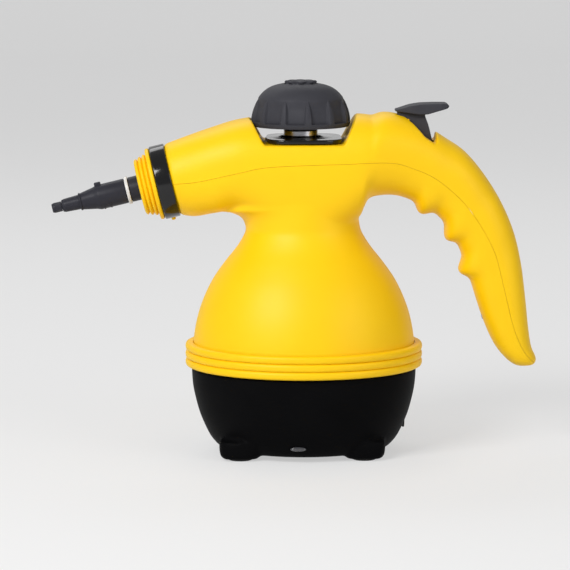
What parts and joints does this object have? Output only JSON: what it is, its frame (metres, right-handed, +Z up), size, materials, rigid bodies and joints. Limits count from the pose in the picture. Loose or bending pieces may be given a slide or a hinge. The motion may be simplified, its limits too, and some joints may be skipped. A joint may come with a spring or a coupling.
{
  "type": "handheld steam cleaner",
  "caption": "Handheld steam cleaner with a round ribbed filler cap, a thumb trigger on a loop grip, a bottle-shaped boiler on a dark base and a stepped snout with a nozzle.",
  "frame": {"origin": "on the floor, under the middle of the whole length and depth; the upright axis of the boiler, its neck and the cap is 3.7 mm from it towards the grip", "axes": "the nozzle points to -X, the grip is at +X, +Z is up"},
  "size_m": [0.3006, 0.136, 0.2305],
  "materials": {
    "yellow_plastic": "satin, fine grain",
    "black_plastic": "satin",
    "charcoal_plastic": "fine grain",
    "rubber": "matt",
    "bright_steel": "bright",
    "boiler_aluminium": "cast",
    "brass": "turned",
    "copper_pipe": "drawn",
    "pale_plastic": "satin",
    "lens_plastic": "polished"
  },
  "bodies": {
    "housing": {"body_shell": "yellow_plastic", "top_cover": "yellow_plastic", "ribbed_belt": "yellow_plastic", "band_peg": "yellow_plastic", "front_collar": "yellow_plastic", "base_shell": "black_plastic", "snout_band": "black_plastic", "saddle_bezel": "black_plastic", "foot_pad_1": "rubber", "foot_pad_2": "rubber", "foot_pad_3": "rubber", "foot_pad_4": "rubber", "outlet_seal": "rubber", "tank_gasket": "rubber", "heater_lead_1": "rubber", "heater_lead_2": "rubber", "cord_inlet": "rubber", "filler_neck": "bright_steel", "base_screw_1": "bright_steel", "base_screw_2": "bright_steel", "base_screw_3": "bright_steel", "base_screw_4": "bright_steel", "grip_screw_1": "bright_steel", "grip_screw_2": "bright_steel", "heating_element": "bright_steel", "thermostat": "bright_steel", "trigger_pin": "bright_steel", "valve_spring": "bright_steel", "boiler_dome": "boiler_aluminium", "boiler_tank": "boiler_aluminium", "steam_outlet": "brass", "valve_body": "brass", "steam_pipe_in": "copper_pipe", "steam_pipe_out": "copper_pipe", "thermal_fuse": "pale_plastic", "terminal_block": "pale_plastic", "indicator_lens": "lens_plastic"},
    "cap_ring": {"cap_washer": "rubber"},
    "cap": {"cap_knob": "charcoal_plastic", "cap_disc": "charcoal_plastic", "cap_plug": "bright_steel"},
    "nozzle_lock": {"nozzle_ring": "pale_plastic"},
    "nozzle": {"nozzle_body": "black_plastic", "nozzle_tip": "black_plastic"},
    "trigger": {"trigger": "charcoal_plastic"},
    "plunger": {"valve_plunger": "bright_steel"}
  },
  "joints": [
    {"name": "cap_lift", "type": "slide", "parent": "housing", "child": "cap_ring", "axis": [0, 0, 1], "range_m": [0, 0.01]},
    {"name": "cap_turn", "type": "hinge", "parent": "cap_ring", "child": "cap", "pos_m": [0.00375, 0, 0.2025], "axis": [0, 0, 1], "range_deg": [0, 1440]},
    {"name": "nozzle_pull", "type": "slide", "parent": "housing", "child": "nozzle_lock", "axis": [-0.9724, 0, -0.2334], "range_m": [0, 0.018]},
    {"name": "nozzle_turn", "type": "hinge", "parent": "nozzle_lock", "child": "nozzle", "pos_m": [-0.08026, 0, 0.1682], "axis": [-0.9724, 0, -0.2334], "range_deg": [0, 45]},
    {"name": "trigger_press", "type": "hinge", "parent": "housing", "child": "trigger", "pos_m": [0.06621, 0, 0.20299], "axis": [0, 1, 0], "range_deg": [0, 9], "stiffness_Nm_per_rad": 0.4, "springref_deg": -2.86},
    {"name": "plunger_slide", "type": "slide", "parent": "housing", "child": "plunger", "axis": [0, 0, -1], "range_m": [0, 0.0026], "deforming": ["valve_spring"]}
  ],
  "couplings": [
    {"joint": "cap_turn", "follows": "cap_lift", "rad_per_m": 2513.3},
    {"joint": "plunger_slide", "follows": "trigger_press", "m_per_rad": 0.0165}
  ]
}
